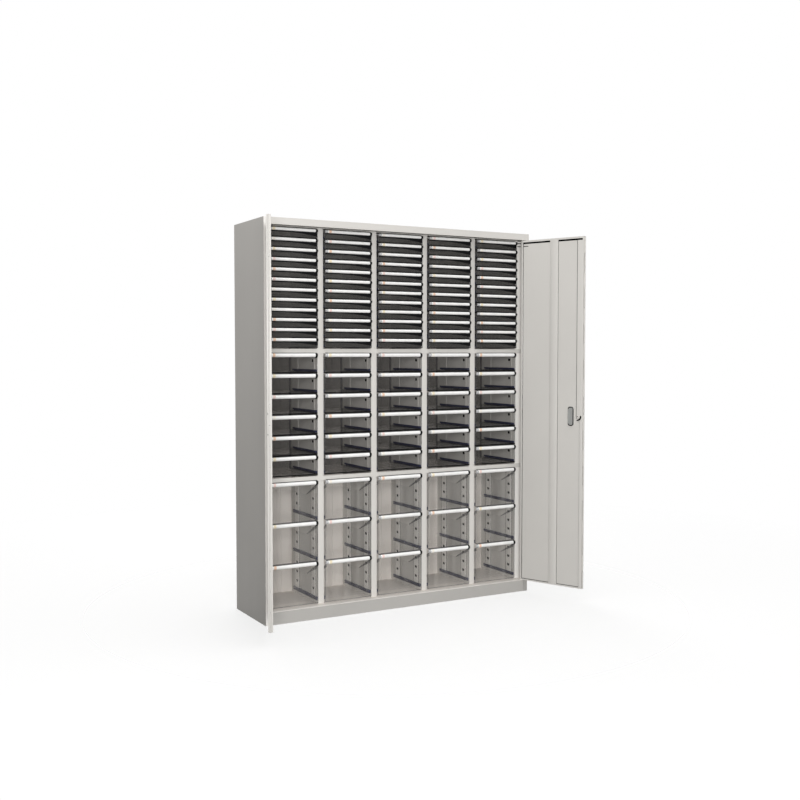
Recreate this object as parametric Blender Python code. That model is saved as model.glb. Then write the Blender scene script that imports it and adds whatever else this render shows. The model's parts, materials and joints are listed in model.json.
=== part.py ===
"""Drawer file cabinet: a steel carcass with five columns of A4 trays behind folding doors.

Metres, +Z up. X runs along the front, the front faces -Y, and the origin is on the floor
under the middle of the carcass. The doors stand open and folded, the trays are pushed in.
"""

import math

import bmesh
import bpy

# Carcass
WIDTH = 1.400
DEPTH = 0.360
HEIGHT = 1.776
COLUMNS = 5
DIVIDER_WIDTH = 0.032
SIDE_POST = 0.0375
SHEET = 0.0012
LAP_GAP = 0.0003
FRONT_FLANGE = 0.0215
BACK_FLANGE = 0.020
FRAME_SETBACK = 0.060
PLINTH = 0.055
SILL_DEPTH = 0.030
FOOT_RETURN = 0.018
FOOT_GAP = 0.0125
BANK_SPACING = 0.0225
RAIL_HEIGHT = 0.021
RAIL_THICK = 0.0015
RAIL_DROP = 0.0024
HEAD_HEIGHT = 0.0348
FASCIA_HEIGHT = 0.030
FASCIA_RETURN = 0.018
CROSS_MEMBER_WIDTH = 0.050

# Trays, one bank of each kind in every column:
# (name, trays, share of the height, share of a tray's pitch that its sides take,
#  bar reach, bar height)
BANK_SHARES = (
    ("tall", 3, 0.3380, 0.709, 0.012, 0.0165),
    ("medium", 6, 0.3378, 0.676, 0.012, 0.0165),
    ("thin", 12, 0.3242, 0.591, 0.018, 0.0125),
)
TRAY_WALL = 0.002
TRAY_SIDE_PLAY = 0.001
TRAY_BACK_PLAY = 0.0018
TRAY_PROUD = 0.006
FRONT_GAP = 0.0015
BAR_BEVEL = 0.003
LEDGE_WIDTH = 0.008
LEDGE_PLAY = 0.001
LEDGE_THICK = 0.0025
LEDGE_RISE = 0.004
RIDE_GAP = 0.0003
WEB_WIDTH = 0.040

# Doors
LEAF_THICK = 0.0095
LEAF_RECESS = 0.0025
LEAF_LIP = 0.031
LEAF_FOOT_GAP = 0.003
LEAF_HEAD_GAP = 0.003
HINGE_LEAF_WIDTH = 0.345
HINGE_GAP = 0.003
MEETING_GAP = 0.001
PIVOT_INSET = 0.006
PIN_RADIUS = 0.003
PIN_PLAY = 0.0003
PIN_SIDES = 12
FOLD_GAP = 0.007
FOLD_OFFSET = 0.0005
FOLD_PIN_RADIUS = 0.0014
KNUCKLE_RADIUS = 0.003
KNUCKLE_LENGTH = 0.081
KNUCKLE_SPACE = 0.003
KNUCKLE_PAIRS = 10
STRAP_THICK = 0.0018
HAT_WIDTH = 0.046
HAT_BRIM = 0.009
HAT_PLACE = 0.535
DOOR_OPEN = math.radians(112)
FOLDED = math.radians(180)

# Lock on the right hinge leaf, measured from the leaf's fold edge
LOCK_Z = 0.887
CUP_FROM_EDGE = 0.063
CUP_WIDTH = 0.031
CUP_HEIGHT = 0.092
CUP_DEPTH = 0.0145
CUP_WALL = 0.0012
CUP_PLAY = 0.0003
HOOK_FROM_EDGE = 0.0255
HOOK_RADIUS = 0.021
HOOK_BAND = 0.005
HOOK_HUB = 0.0055
HOOK_THICK = 0.0025
HOOK_SWEEP = math.radians(95)
HOOK_STEPS = 8
SPINDLE_RADIUS = 0.0028

# Places worked out from the sizes above
COLUMN_CLEAR = (WIDTH - 2 * SIDE_POST - (COLUMNS - 1) * DIVIDER_WIDTH) / COLUMNS
COLUMN_PITCH = COLUMN_CLEAR + DIVIDER_WIDTH
STACK = HEIGHT - PLINTH - FOOT_GAP - HEAD_HEIGHT
TRAY_SPACE = STACK - (len(BANK_SHARES) - 1) * BANK_SPACING
BANK_HEIGHTS = [share * TRAY_SPACE for _, _, share, *_ in BANK_SHARES]
BANKS = [
    (name, count, height / count, side * height / count, reach, bar)
    for (name, count, _, side, reach, bar), height in zip(BANK_SHARES, BANK_HEIGHTS)
]
SIDE_X = WIDTH / 2
FRONT_Y = -DEPTH / 2
REAR_Y = DEPTH / 2
INNER_X = SIDE_X - SHEET - LAP_GAP
SKIN_Y = FRONT_Y + SHEET + LAP_GAP
BACK_Y = REAR_Y - 2 * SHEET - LAP_GAP
FRAME_Y = FRONT_Y + FRAME_SETBACK
FLOOR_Z = PLINTH - SHEET - LAP_GAP
HEAD_Z = HEIGHT - SHEET - LAP_GAP
FASCIA_Z = HEIGHT - FASCIA_HEIGHT
TRAY_FRONT_Y = FRAME_Y - TRAY_PROUD
TRAY_BACK_Y = BACK_Y - TRAY_BACK_PLAY
TRAY_BASE = LEDGE_RISE + LEDGE_THICK + RIDE_GAP
TRAY_HALF = COLUMN_CLEAR / 2 - TRAY_SIDE_PLAY
BODY_HALF = COLUMN_CLEAR / 2 - LEDGE_WIDTH - LEDGE_PLAY
PIVOT_X = SIDE_X - FRONT_FLANGE - HINGE_GAP - PIVOT_INSET
PIVOT_Y = FRONT_Y + LEAF_RECESS + LEAF_THICK / 2
LEAF_FOOT_Z = PLINTH + LEAF_FOOT_GAP
LEAF_TOP_Z = FASCIA_Z - LEAF_HEAD_GAP
LEAF_EDGE = HINGE_LEAF_WIDTH - PIVOT_INSET
FOLD_X = LEAF_EDGE + FOLD_GAP / 2
FOLD_LEAF_WIDTH = PIVOT_X - FOLD_X - FOLD_GAP / 2 - MEETING_GAP


def bank_floors():
    """The height at which each bank starts, from the lowest up."""
    floors = []
    z = PLINTH + FOOT_GAP
    for height in BANK_HEIGHTS:
        floors.append(z)
        z += height + BANK_SPACING
    return floors


def tray_levels():
    """The floor height of every tray compartment in a column."""
    levels = []
    for floor, (_, count, pitch, *_) in zip(bank_floors(), BANKS):
        levels += [floor + i * pitch for i in range(count)]
    return levels


def column_x(column):
    """The middle of a column, counted from 0 at the left."""
    return -SIDE_X + SIDE_POST + COLUMN_CLEAR / 2 + column * COLUMN_PITCH


def clear_scene():
    for old in list(bpy.data.objects):
        bpy.data.objects.remove(old, do_unlink=True)


def make_material(name, colour, roughness, metallic=0.0, alpha=1.0):
    material = bpy.data.materials.new(name)
    material.use_nodes = True
    shader = material.node_tree.nodes["Principled BSDF"]
    shader.inputs["Base Color"].default_value = (*colour, 1.0)
    shader.inputs["Roughness"].default_value = roughness
    shader.inputs["Metallic"].default_value = metallic
    shader.inputs["Alpha"].default_value = alpha
    return material


def add_object(name, mesh, material, location=(0, 0, 0), parent=None):
    """One named object. A mesh that several objects share carries its material once."""
    obj = bpy.data.objects.new(name, mesh)
    bpy.context.scene.collection.objects.link(obj)
    obj.location = location
    obj.parent = parent
    if not mesh.materials:
        mesh.materials.append(material)
    return obj


def add_axis(name, location, turn, parent=None):
    """An empty that stands on a joint's axis."""
    empty = bpy.data.objects.new(name, None)
    bpy.context.scene.collection.objects.link(empty)
    empty.parent = parent
    empty.location = location
    empty.rotation_euler.z = turn
    return empty


def prism(outline, along, start, end):
    """A closed mesh: a flat outline of points in the two other axes, swept along one axis."""
    place = {
        "X": lambda a, b, c: (c, a, b),
        "Y": lambda a, b, c: (a, c, b),
        "Z": lambda a, b, c: (a, b, c),
    }[along]
    shape = bmesh.new()
    ring = [shape.verts.new(place(a, b, start)) for a, b in outline]
    face = shape.faces.new(ring)
    swept = bmesh.ops.extrude_face_region(shape, geom=[face])
    moved = [v for v in swept["geom"] if isinstance(v, bmesh.types.BMVert)]
    bmesh.ops.translate(shape, vec=place(0, 0, end - start), verts=moved)
    bmesh.ops.recalc_face_normals(shape, faces=shape.faces)
    mesh = bpy.data.meshes.new("prism")
    shape.to_mesh(mesh)
    shape.free()
    return mesh


def block(low, high):
    """A closed box between two corners."""
    (x0, y0, z0), (x1, y1, z1) = low, high
    return prism([(x0, y0), (x1, y0), (x1, y1), (x0, y1)], "Z", z0, z1)


def circle(a, b, radius, sides=PIN_SIDES):
    turns = [2 * math.pi * (i + 0.5) / sides for i in range(sides)]
    return [(a + radius * math.cos(t), b + radius * math.sin(t)) for t in turns]


def combine(base, others, operation):
    """The base mesh joined with the others, or cut by them, one Boolean at a time."""
    target = bpy.data.objects.new("work", base)
    bpy.context.scene.collection.objects.link(target)
    for other in others:
        tool = bpy.data.objects.new("tool", other)
        bpy.context.scene.collection.objects.link(tool)
        modifier = target.modifiers.new("shape", "BOOLEAN")
        modifier.operation = operation
        modifier.solver = "EXACT"
        modifier.object = tool
        bpy.context.view_layer.update()
        graph = bpy.context.evaluated_depsgraph_get()
        result = bpy.data.meshes.new_from_object(target.evaluated_get(graph))
        target.modifiers.clear()
        target.data = result
        bpy.data.objects.remove(tool, do_unlink=True)
    mesh = target.data
    bpy.data.objects.remove(target, do_unlink=True)
    return mesh


def join(base, others):
    return combine(base, others, "UNION")


def cut(base, others):
    return combine(base, others, "DIFFERENCE")


def side_panel(side):
    """Outer sheet with a front flange and a back return, open towards the inside."""
    outline = [
        (SIDE_X, FRONT_Y),
        (SIDE_X, REAR_Y),
        (SIDE_X - BACK_FLANGE, REAR_Y),
        (SIDE_X - BACK_FLANGE, REAR_Y - SHEET),
        (SIDE_X - SHEET, REAR_Y - SHEET),
        (SIDE_X - SHEET, FRONT_Y + SHEET),
        (SIDE_X - FRONT_FLANGE, FRONT_Y + SHEET),
        (SIDE_X - FRONT_FLANGE, FRONT_Y),
    ]
    return prism([(side * x, y) for x, y in outline], "Z", 0.0, HEIGHT)


def pin_holes(z0, z1):
    """Cutters for the two door pins between two heights."""
    radius = PIN_RADIUS + PIN_PLAY
    return [prism(circle(side * PIVOT_X, PIVOT_Y, radius), "Z", z0, z1) for side in (-1, 1)]


def top_panel():
    """Roof sheet, fascia, and the return under the fascia that holds the pins' upper ends."""
    outline = [
        (SKIN_Y, HEIGHT),
        (BACK_Y - LAP_GAP, HEIGHT),
        (BACK_Y - LAP_GAP, HEIGHT - SHEET),
        (SKIN_Y + SHEET, HEIGHT - SHEET),
        (SKIN_Y + SHEET, FASCIA_Z + SHEET),
        (SKIN_Y + FASCIA_RETURN, FASCIA_Z + SHEET),
        (SKIN_Y + FASCIA_RETURN, FASCIA_Z),
        (SKIN_Y, FASCIA_Z),
    ]
    sheet = prism(outline, "X", -INNER_X, INNER_X)
    return cut(sheet, pin_holes(FASCIA_Z - SHEET, FASCIA_Z + 2 * SHEET))


def kick_plate():
    """Plinth front with a foot on the floor and a sill that holds the pins' lower ends."""
    outline = [
        (SKIN_Y, 0.0),
        (SKIN_Y + FOOT_RETURN, 0.0),
        (SKIN_Y + FOOT_RETURN, SHEET),
        (SKIN_Y + SHEET, SHEET),
        (SKIN_Y + SHEET, PLINTH - SHEET),
        (SKIN_Y + SILL_DEPTH, PLINTH - SHEET),
        (SKIN_Y + SILL_DEPTH, PLINTH),
        (SKIN_Y, PLINTH),
    ]
    sheet = prism(outline, "X", -INNER_X, INNER_X)
    return cut(sheet, pin_holes(PLINTH - 2 * SHEET, PLINTH + SHEET))


def bottom_panel():
    """Floor sheet of the columns, lapped under the sill."""
    low = (-INNER_X, SKIN_Y + SHEET + LAP_GAP, FLOOR_Z - SHEET)
    high = (INNER_X, BACK_Y - LAP_GAP, FLOOR_Z)
    return block(low, high)


def back_panel():
    return block((-INNER_X, BACK_Y, 0.0), (INNER_X, BACK_Y + SHEET, HEAD_Z))


def base_cross_member():
    """Channel that runs front to back on the floor and props the middle of the bottom panel."""
    half = CROSS_MEMBER_WIDTH / 2
    top = FLOOR_Z - SHEET - LAP_GAP
    outline = [
        (-half, 0.0),
        (half, 0.0),
        (half, top),
        (half - SHEET, top),
        (half - SHEET, SHEET),
        (SHEET - half, SHEET),
        (SHEET - half, top),
        (-half, top),
    ]
    start = SKIN_Y + FOOT_RETURN + LAP_GAP
    return prism(outline, "Y", start, BACK_Y - LAP_GAP)


def ledge_teeth(edge, out):
    """The outline of one post face, from the bottom up, with a ledge at every tray level."""
    points = []
    for level in tray_levels():
        z0 = level + LEDGE_RISE
        z1 = z0 + LEDGE_THICK
        tip = edge + out * LEDGE_WIDTH
        points += [(edge, z0), (tip, z0), (tip, z1), (edge, z1)]
    return points


def runner_post(left, right, left_ledges, right_ledges):
    """A folded post, open at the back, with tray ledges on the faces that look into a column."""
    foot = FLOOR_Z + LAP_GAP
    rising = ledge_teeth(right, 1) if right_ledges else []
    falling = ledge_teeth(left, -1)[::-1] if left_ledges else []
    outline = [(left, foot), (right, foot), *rising, (right, HEAD_Z), (left, HEAD_Z), *falling]
    post = prism(outline, "Y", FRAME_Y, BACK_Y - LAP_GAP)
    hollow_left = left + SHEET if left_ledges else left - SHEET
    hollow_right = right - SHEET if right_ledges else right + SHEET
    low = (hollow_left, FRAME_Y + SHEET, foot - SHEET)
    high = (hollow_right, BACK_Y + SHEET, HEAD_Z + SHEET)
    return cut(post, [block(low, high)])


def cross_rail(bank_top):
    """Flat strip welded across the fronts of the posts above a bank."""
    back = FRAME_Y - LAP_GAP
    low = (-INNER_X, back - RAIL_THICK, bank_top - RAIL_DROP)
    high = (INNER_X, back, bank_top - RAIL_DROP + RAIL_HEIGHT)
    return block(low, high)


def front_outline(top, reach, bar):
    """Section of a tray's front: a plate with a grip bar along its top, the bar's nose bevelled."""
    inside = TRAY_FRONT_Y + TRAY_WALL
    nose = TRAY_FRONT_Y - reach
    low = top - bar
    return [
        (TRAY_FRONT_Y, FRONT_GAP),
        (inside, FRONT_GAP),
        (inside, top),
        (nose + BAR_BEVEL, top),
        (nose, top - BAR_BEVEL),
        (nose, low + BAR_BEVEL),
        (nose + BAR_BEVEL, low),
        (TRAY_FRONT_Y, low),
    ]


def tray(pitch, side_height, reach, bar):
    """One tray above its compartment's floor: base with riding edges, walls, front, grip bar."""
    lap = TRAY_WALL / 2
    shelf = TRAY_BASE + TRAY_WALL
    inner = BODY_HALF - TRAY_WALL
    half_outline = [
        (TRAY_HALF, TRAY_BASE),
        (TRAY_HALF, shelf),
        (BODY_HALF, shelf),
        (BODY_HALF, side_height),
        (inner, side_height),
        (inner, shelf),
    ]
    outline = half_outline + [(-x, z) for x, z in half_outline[::-1]]
    channel = prism(outline, "Y", TRAY_FRONT_Y + lap, TRAY_BACK_Y)
    back = block(
        (lap - BODY_HALF, TRAY_BACK_Y - TRAY_WALL, TRAY_BASE + lap),
        (BODY_HALF - lap, TRAY_BACK_Y - lap / 4, side_height - lap),
    )
    front = prism(front_outline(pitch - FRONT_GAP, reach, bar), "X", -TRAY_HALF, TRAY_HALF)
    return join(channel, [back, front])


def tray_bank(mesh, count, pitch, side_height):
    """A bank whose trays slide as one: copies of the tray on a web in the plane of their backs."""
    low = (-WEB_WIDTH / 2, TRAY_BACK_Y - 0.8 * TRAY_WALL, TRAY_BASE + 0.3 * TRAY_WALL)
    high = (WEB_WIDTH / 2, TRAY_BACK_Y - 0.4 * TRAY_WALL, (count - 1) * pitch + side_height / 2)
    copies = []
    for i in range(count):
        copy = mesh.copy()
        for vertex in copy.vertices:
            vertex.co.z += i * pitch
        copies.append(copy)
    return join(block(low, high), copies)


def pan(hand, start, end, outer, lip):
    """A door leaf's sheet: skin, four returned edges, and a lip along its far edge."""
    inner = outer + LEAF_THICK
    solid = block((hand * start, outer, LEAF_FOOT_Z), (hand * end, inner, LEAF_TOP_Z))
    hollow = block(
        (hand * (start + SHEET), outer + SHEET, LEAF_FOOT_Z + SHEET),
        (hand * (end - SHEET), inner - SHEET, LEAF_TOP_Z - SHEET),
    )
    mouth = block(
        (hand * (start + SHEET), inner - 2 * SHEET, LEAF_FOOT_Z + SHEET),
        (hand * (end - lip), inner + SHEET, LEAF_TOP_Z - SHEET),
    )
    return cut(solid, [hollow, mouth])


def knuckles(hand, axis_x, axis_y, edge_x, outer, upper):
    """Knuckles along the fold, each strapped to its leaf's edge, and the bore for the fold pin."""
    step = (LEAF_TOP_Z - LEAF_FOOT_Z) / KNUCKLE_PAIRS
    pieces = []
    for i in range(KNUCKLE_PAIRS):
        z0 = LEAF_FOOT_Z + (i + 0.5) * step + KNUCKLE_SPACE / 2
        if not upper:
            z0 -= KNUCKLE_LENGTH + KNUCKLE_SPACE
        z1 = z0 + KNUCKLE_LENGTH
        pieces.append(prism(circle(hand * axis_x, axis_y, KNUCKLE_RADIUS), "Z", z0, z1))
        strap_low = (hand * axis_x, outer + LAP_GAP, z0 + KNUCKLE_SPACE)
        strap_high = (hand * edge_x, outer + STRAP_THICK, z1 - KNUCKLE_SPACE)
        pieces.append(block(strap_low, strap_high))
    radius = FOLD_PIN_RADIUS + PIN_PLAY
    bore = prism(circle(hand * axis_x, axis_y, radius), "Z", LEAF_FOOT_Z, LEAF_TOP_Z)
    return pieces, bore


def hat(hand, centre, base):
    """Hat-section stiffener down a leaf, its brims on the inside of the skin."""
    half = HAT_WIDTH / 2
    crown = half - HAT_BRIM
    top = base + LEAF_THICK - SHEET - LAP_GAP
    outline = [
        (centre - half, base),
        (centre - crown, base),
        (centre - crown, top - SHEET),
        (centre + crown, top - SHEET),
        (centre + crown, base),
        (centre + half, base),
        (centre + half, base + SHEET),
        (centre + crown + SHEET, base + SHEET),
        (centre + crown + SHEET, top),
        (centre - crown - SHEET, top),
        (centre - crown - SHEET, base + SHEET),
        (centre - half, base + SHEET),
    ]
    points = [(hand * x, y) for x, y in outline]
    return prism(points, "Z", LEAF_FOOT_Z + SHEET + LAP_GAP, LEAF_TOP_Z - SHEET - LAP_GAP)


def hinge_leaf(hand, with_lock):
    """The leaf that turns on the door pin, from the pin's axis. It carries the upper knuckles."""
    outer = -LEAF_THICK / 2
    sheet = pan(hand, -PIVOT_INSET, LEAF_EDGE, outer, LEAF_LIP)
    axis_y = outer - FOLD_OFFSET
    pieces, bore = knuckles(hand, FOLD_X, axis_y, LEAF_EDGE - SHEET / 2, outer, True)
    holes = [prism(circle(0, 0, PIN_RADIUS + PIN_PLAY), "Z", LEAF_FOOT_Z - SHEET, HEIGHT), bore]
    if with_lock:
        cup_x = LEAF_EDGE - CUP_FROM_EDGE
        half = CUP_WIDTH / 2 + CUP_PLAY
        tall = CUP_HEIGHT / 2 + CUP_PLAY
        low = (hand * (cup_x - half), outer - SHEET, LOCK_Z - tall)
        high = (hand * (cup_x + half), outer + 2 * SHEET, LOCK_Z + tall)
        holes.append(block(low, high))
        spindle = circle(hand * (LEAF_EDGE - HOOK_FROM_EDGE), LOCK_Z, SPINDLE_RADIUS + PIN_PLAY)
        holes.append(prism(spindle, "Y", outer - SHEET, SHEET - outer))
    return cut(join(sheet, pieces), holes)


def fold_leaf(hand):
    """The leaf that turns on the fold pin, from that pin's axis, with its stiffener welded in."""
    start = FOLD_GAP / 2
    end = start + FOLD_LEAF_WIDTH
    sheet = pan(hand, start, end, FOLD_OFFSET, LEAF_LIP)
    pieces, bore = knuckles(hand, 0, 0, start + SHEET / 2, FOLD_OFFSET, False)
    stiffener = hat(hand, start + FOLD_LEAF_WIDTH / 2, FOLD_OFFSET + SHEET / 2)
    return cut(join(sheet, [*pieces, stiffener]), [bore])


def lock_cup(hand):
    """Recessed pull, open to the outside of the leaf."""
    outer = -LEAF_THICK / 2
    x = LEAF_EDGE - CUP_FROM_EDGE
    half = CUP_WIDTH / 2
    tall = CUP_HEIGHT / 2
    solid = block(
        (hand * (x - half), outer, LOCK_Z - tall),
        (hand * (x + half), outer + CUP_DEPTH, LOCK_Z + tall),
    )
    hollow = block(
        (hand * (x - half + CUP_WALL), outer - CUP_WALL, LOCK_Z - tall + CUP_WALL),
        (hand * (x + half - CUP_WALL), outer + CUP_DEPTH - CUP_WALL, LOCK_Z + tall - CUP_WALL),
    )
    return cut(solid, [hollow])


def latch_hook(hand):
    """Hook inside the leaf: an arc on one arm, and a spindle that passes out to the skin."""
    inner_radius = HOOK_RADIUS - HOOK_BAND
    angles = [-math.pi / 2 + HOOK_SWEEP * i / HOOK_STEPS for i in range(HOOK_STEPS + 1)]
    outline = [(-HOOK_BAND / 2, HOOK_HUB), (-HOOK_BAND / 2, -HOOK_RADIUS)]
    outline += [(HOOK_RADIUS * math.cos(a), HOOK_RADIUS * math.sin(a)) for a in angles]
    inner = [(inner_radius * math.cos(a), inner_radius * math.sin(a)) for a in angles[2:]]
    outline += inner[::-1]
    outline += [(HOOK_BAND / 2, -inner_radius), (HOOK_BAND / 2, HOOK_HUB)]
    face = LEAF_THICK / 2 + PIN_PLAY
    plate = prism([(hand * x, z) for x, z in outline], "Y", face, face + HOOK_THICK)
    hub = prism(circle(0, 0, HOOK_HUB), "Y", face + PIN_PLAY, face + HOOK_THICK + PIN_PLAY)
    stem = prism(circle(0, 0, SPINDLE_RADIUS), "Y", -LEAF_THICK / 2, face + HOOK_THICK / 2)
    return join(plate, [hub, stem])


def build_carcass(paint, dark_steel):
    floors = bank_floors()
    add_object("left_side_panel", side_panel(-1), paint)
    add_object("right_side_panel", side_panel(1), paint)
    add_object("top_panel", top_panel(), paint)
    add_object("back_panel", back_panel(), paint)
    add_object("bottom_panel", bottom_panel(), paint)
    add_object("kick_plate", kick_plate(), paint)
    add_object("base_cross_member", base_cross_member(), paint)
    for i in range(1, COLUMNS):
        right = column_x(i) - COLUMN_CLEAR / 2
        add_object(f"divider_{i}", runner_post(right - DIVIDER_WIDTH, right, True, True), paint)
    inside = SIDE_X - SIDE_POST
    add_object("left_runner_liner", runner_post(-INNER_X, -inside, False, True), paint)
    add_object("right_runner_liner", runner_post(inside, INNER_X, True, False), paint)
    add_object("lower_cross_rail", cross_rail(floors[0] + BANK_HEIGHTS[0]), paint)
    add_object("upper_cross_rail", cross_rail(floors[1] + BANK_HEIGHTS[1]), paint)
    for name, side in (("left", -1), ("right", 1)):
        rod = prism(circle(0, 0, PIN_RADIUS), "Z", PLINTH - SHEET, FASCIA_Z + 2 * SHEET)
        add_object(f"{name}_hinge_pin", rod, dark_steel, (side * PIVOT_X, PIVOT_Y, 0))


def build_door(name, side, paint, dark_steel, grey_plastic):
    """One folding door, built shut about its pin and turned open with its fold leaf behind it."""
    hand = -side
    with_lock = name == "right"
    outer = -LEAF_THICK / 2
    door = add_axis(f"{name}_door_axis", (side * PIVOT_X, PIVOT_Y, 0), side * DOOR_OPEN)
    fold_place = (hand * FOLD_X, outer - FOLD_OFFSET, 0)
    fold = add_axis(f"{name}_fold_axis", fold_place, side * FOLDED, door)
    add_object(f"{name}_hinge_leaf", hinge_leaf(hand, with_lock), paint, parent=door)
    centre = HAT_PLACE * HINGE_LEAF_WIDTH - PIVOT_INSET
    brace = hat(hand, centre, outer + SHEET + LAP_GAP)
    add_object(f"{name}_leaf_stiffener", brace, paint, parent=door)
    rod = prism(circle(0, 0, FOLD_PIN_RADIUS), "Z", LEAF_FOOT_Z, LEAF_TOP_Z)
    add_object(f"{name}_fold_pin", rod, dark_steel, fold_place, door)
    add_object(f"{name}_fold_leaf", fold_leaf(hand), paint, parent=fold)
    if with_lock:
        add_object("lock_cup", lock_cup(hand), grey_plastic, parent=door)
        hook_place = (hand * (LEAF_EDGE - HOOK_FROM_EDGE), 0, LOCK_Z)
        add_object("latch_hook", latch_hook(hand), dark_steel, hook_place, door)


def build_trays(clear_plastic):
    """Single trays in the first column, and banks that slide as one in the other columns."""
    for floor, (kind, count, pitch, side_height, reach, bar) in zip(bank_floors(), BANKS):
        single = tray(pitch, side_height, reach, bar)
        for i in range(count):
            place = (column_x(0), 0, floor + i * pitch)
            add_object(f"{kind}_drawer_{count - i}", single, clear_plastic, place)
        bank = tray_bank(single, count, pitch, side_height)
        for column in range(1, COLUMNS):
            place = (column_x(column), 0, floor)
            add_object(f"{kind}_bank_{column + 1}", bank, clear_plastic, place)


def main():
    clear_scene()
    paint = make_material("light_grey_paint", (0.72, 0.71, 0.68), 0.45)
    dark_steel = make_material("dark_steel", (0.05, 0.05, 0.055), 0.4, metallic=0.9)
    grey_plastic = make_material("grey_plastic", (0.35, 0.35, 0.35), 0.5)
    clear_plastic = make_material("clear_plastic", (0.85, 0.86, 0.86), 0.12, alpha=0.4)
    build_carcass(paint, dark_steel)
    build_door("left", -1, paint, dark_steel, grey_plastic)
    build_door("right", 1, paint, dark_steel, grey_plastic)
    build_trays(clear_plastic)


main()
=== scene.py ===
# %% [markdown]
# # A drawer file cabinet with folding doors
# The cabinet is light grey painted steel. Its five columns hold clear and smoked paper trays,
# each with a white grip bar, and a folding door stands open at each side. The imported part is
# loaded first and stays as it is. Pieces that need more detail than the solids have are built
# over it in the same frame, in metres, and each one rides on the body that carries it.

import json
import math

import bmesh
import bpy
from mathutils import Matrix, Vector


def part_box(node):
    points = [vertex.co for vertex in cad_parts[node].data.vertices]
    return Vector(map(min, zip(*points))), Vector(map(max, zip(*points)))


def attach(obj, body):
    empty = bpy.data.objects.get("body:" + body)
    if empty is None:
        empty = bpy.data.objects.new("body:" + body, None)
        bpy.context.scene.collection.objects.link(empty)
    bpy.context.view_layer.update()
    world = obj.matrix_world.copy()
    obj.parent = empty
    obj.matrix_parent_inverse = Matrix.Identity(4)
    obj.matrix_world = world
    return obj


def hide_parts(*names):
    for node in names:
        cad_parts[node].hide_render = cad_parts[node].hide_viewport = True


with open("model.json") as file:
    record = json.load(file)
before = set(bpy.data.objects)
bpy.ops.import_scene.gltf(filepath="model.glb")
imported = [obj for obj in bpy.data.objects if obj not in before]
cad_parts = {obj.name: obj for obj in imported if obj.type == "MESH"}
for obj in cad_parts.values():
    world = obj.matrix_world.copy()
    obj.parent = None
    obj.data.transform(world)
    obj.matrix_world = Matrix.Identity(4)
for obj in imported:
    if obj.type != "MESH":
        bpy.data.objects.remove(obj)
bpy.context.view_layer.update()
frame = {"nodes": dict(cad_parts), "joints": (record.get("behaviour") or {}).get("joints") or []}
nodes = frame["nodes"]
joint_place = {j["name"]: Vector(j.get("pos_m", (0, 0, 0))) for j in frame["joints"]}
print("nodes:", len(nodes), "joints:", len(joint_place))

# %% [markdown]
# ## Sizes from the frame
# Everything below is placed from the solids' own boxes, so that it still fits if the solids
# change. A tray's box gives its column, its height and the pitch of its bank.

# %% Read the sizes
MM = 0.001
TRAY_GAP = 1.5 * MM
COLUMN_PLAY = 1.0 * MM
BANK_COUNTS = {"tall": 3, "medium": 6, "thin": 12}
COLUMNS = 5


def by_kind(*sizes):
    """Millimetres for tall, medium and thin trays."""
    return {kind: size * MM for kind, size in zip(BANK_COUNTS, sizes)}


TOP_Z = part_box("right_side_panel")[1].z
SILL_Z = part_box("kick_plate")[1].z
post_low, post_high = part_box("right_runner_liner")
FRAME_Y, FOOT_Z = post_low.y, post_low.z
WALL_BACK_Y, HEAD_Z = post_high.y, post_high.z

trays = []  # node, kind, column, how many trays, box
for kind, count in BANK_COUNTS.items():
    for i in range(count):
        node = f"{kind}_drawer_{i + 1}"
        trays.append((node, kind, 0, 1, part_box(node)))
    for column in range(1, COLUMNS):
        node = f"{kind}_bank_{column + 1}"
        trays.append((node, kind, column, count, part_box(node)))
bank_pitch = {}
bank_floor = {}
column_x = [0.0] * COLUMNS
for _, kind, column, count, (low, high) in trays:
    column_x[column] = (low.x + high.x) / 2
    if count > 1:
        bank_pitch[kind] = (high.z - low.z + 2 * TRAY_GAP) / count
        bank_floor[kind] = low.z - TRAY_GAP
tray_low, tray_high = trays[0][-1]
TRAY_HALF = (tray_high.x - tray_low.x) / 2
TRAY_BACK_Y = tray_high.y
COLUMN_HALF = TRAY_HALF + COLUMN_PLAY
print("pitches:", {k: round(v, 4) for k, v in bank_pitch.items()})

# %% [markdown]
# ## Camera
# The photograph was taken from the left, a little above the middle of the cabinet. The lens
# and place were worked out from the carcass's corners, which is surer than turning by eye.

# %% Set up the camera
EYE = (-2.3727, -4.3563, 1.1906)
EYE_YAW = math.radians(-29.29)
EYE_PITCH = math.radians(90 - 2.603)
LENS = 46.575
SENSOR = 36.0


def add_object(name, data):
    thing = bpy.data.objects.new(name, data)
    bpy.context.scene.collection.objects.link(thing)
    return thing


camera = add_object("photo_camera", bpy.data.cameras.new("photo_camera"))
camera.data.lens = LENS
camera.data.sensor_width = SENSOR
camera.location = EYE
camera.rotation_euler = (EYE_PITCH, 0.0, EYE_YAW)
bpy.context.scene.camera = camera
print("camera lens:", camera.data.lens)

# %% [markdown]
# ## White room
# The photograph has a white ground. A plain white world would light the cabinet so evenly that
# the steel looks flat. This one only looks white: it lights at half strength, less from below.

# %% Add the room
WHITE = (1.0, 1.0, 1.0, 1.0)
ROOM_TINT = (1.0, 0.99, 0.98, 1.0)
ROOM_LEVEL = 0.5
ROOM_BELOW = 0.12
ROOM_BLEND = 0.6


def set_inputs(node, **values):
    """Puts plain values on sockets. A name with _ stands for a socket's name with a space."""
    for name, value in values.items():
        node.inputs[name.replace("_", " ")].default_value = value


def add_node(tree, kind, **values):
    node = tree.nodes.new("ShaderNode" + kind)
    set_inputs(node, **values)
    return node


def wire(tree, source, output, target, socket):
    tree.links.new(source.outputs[output], target.inputs[socket])


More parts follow.
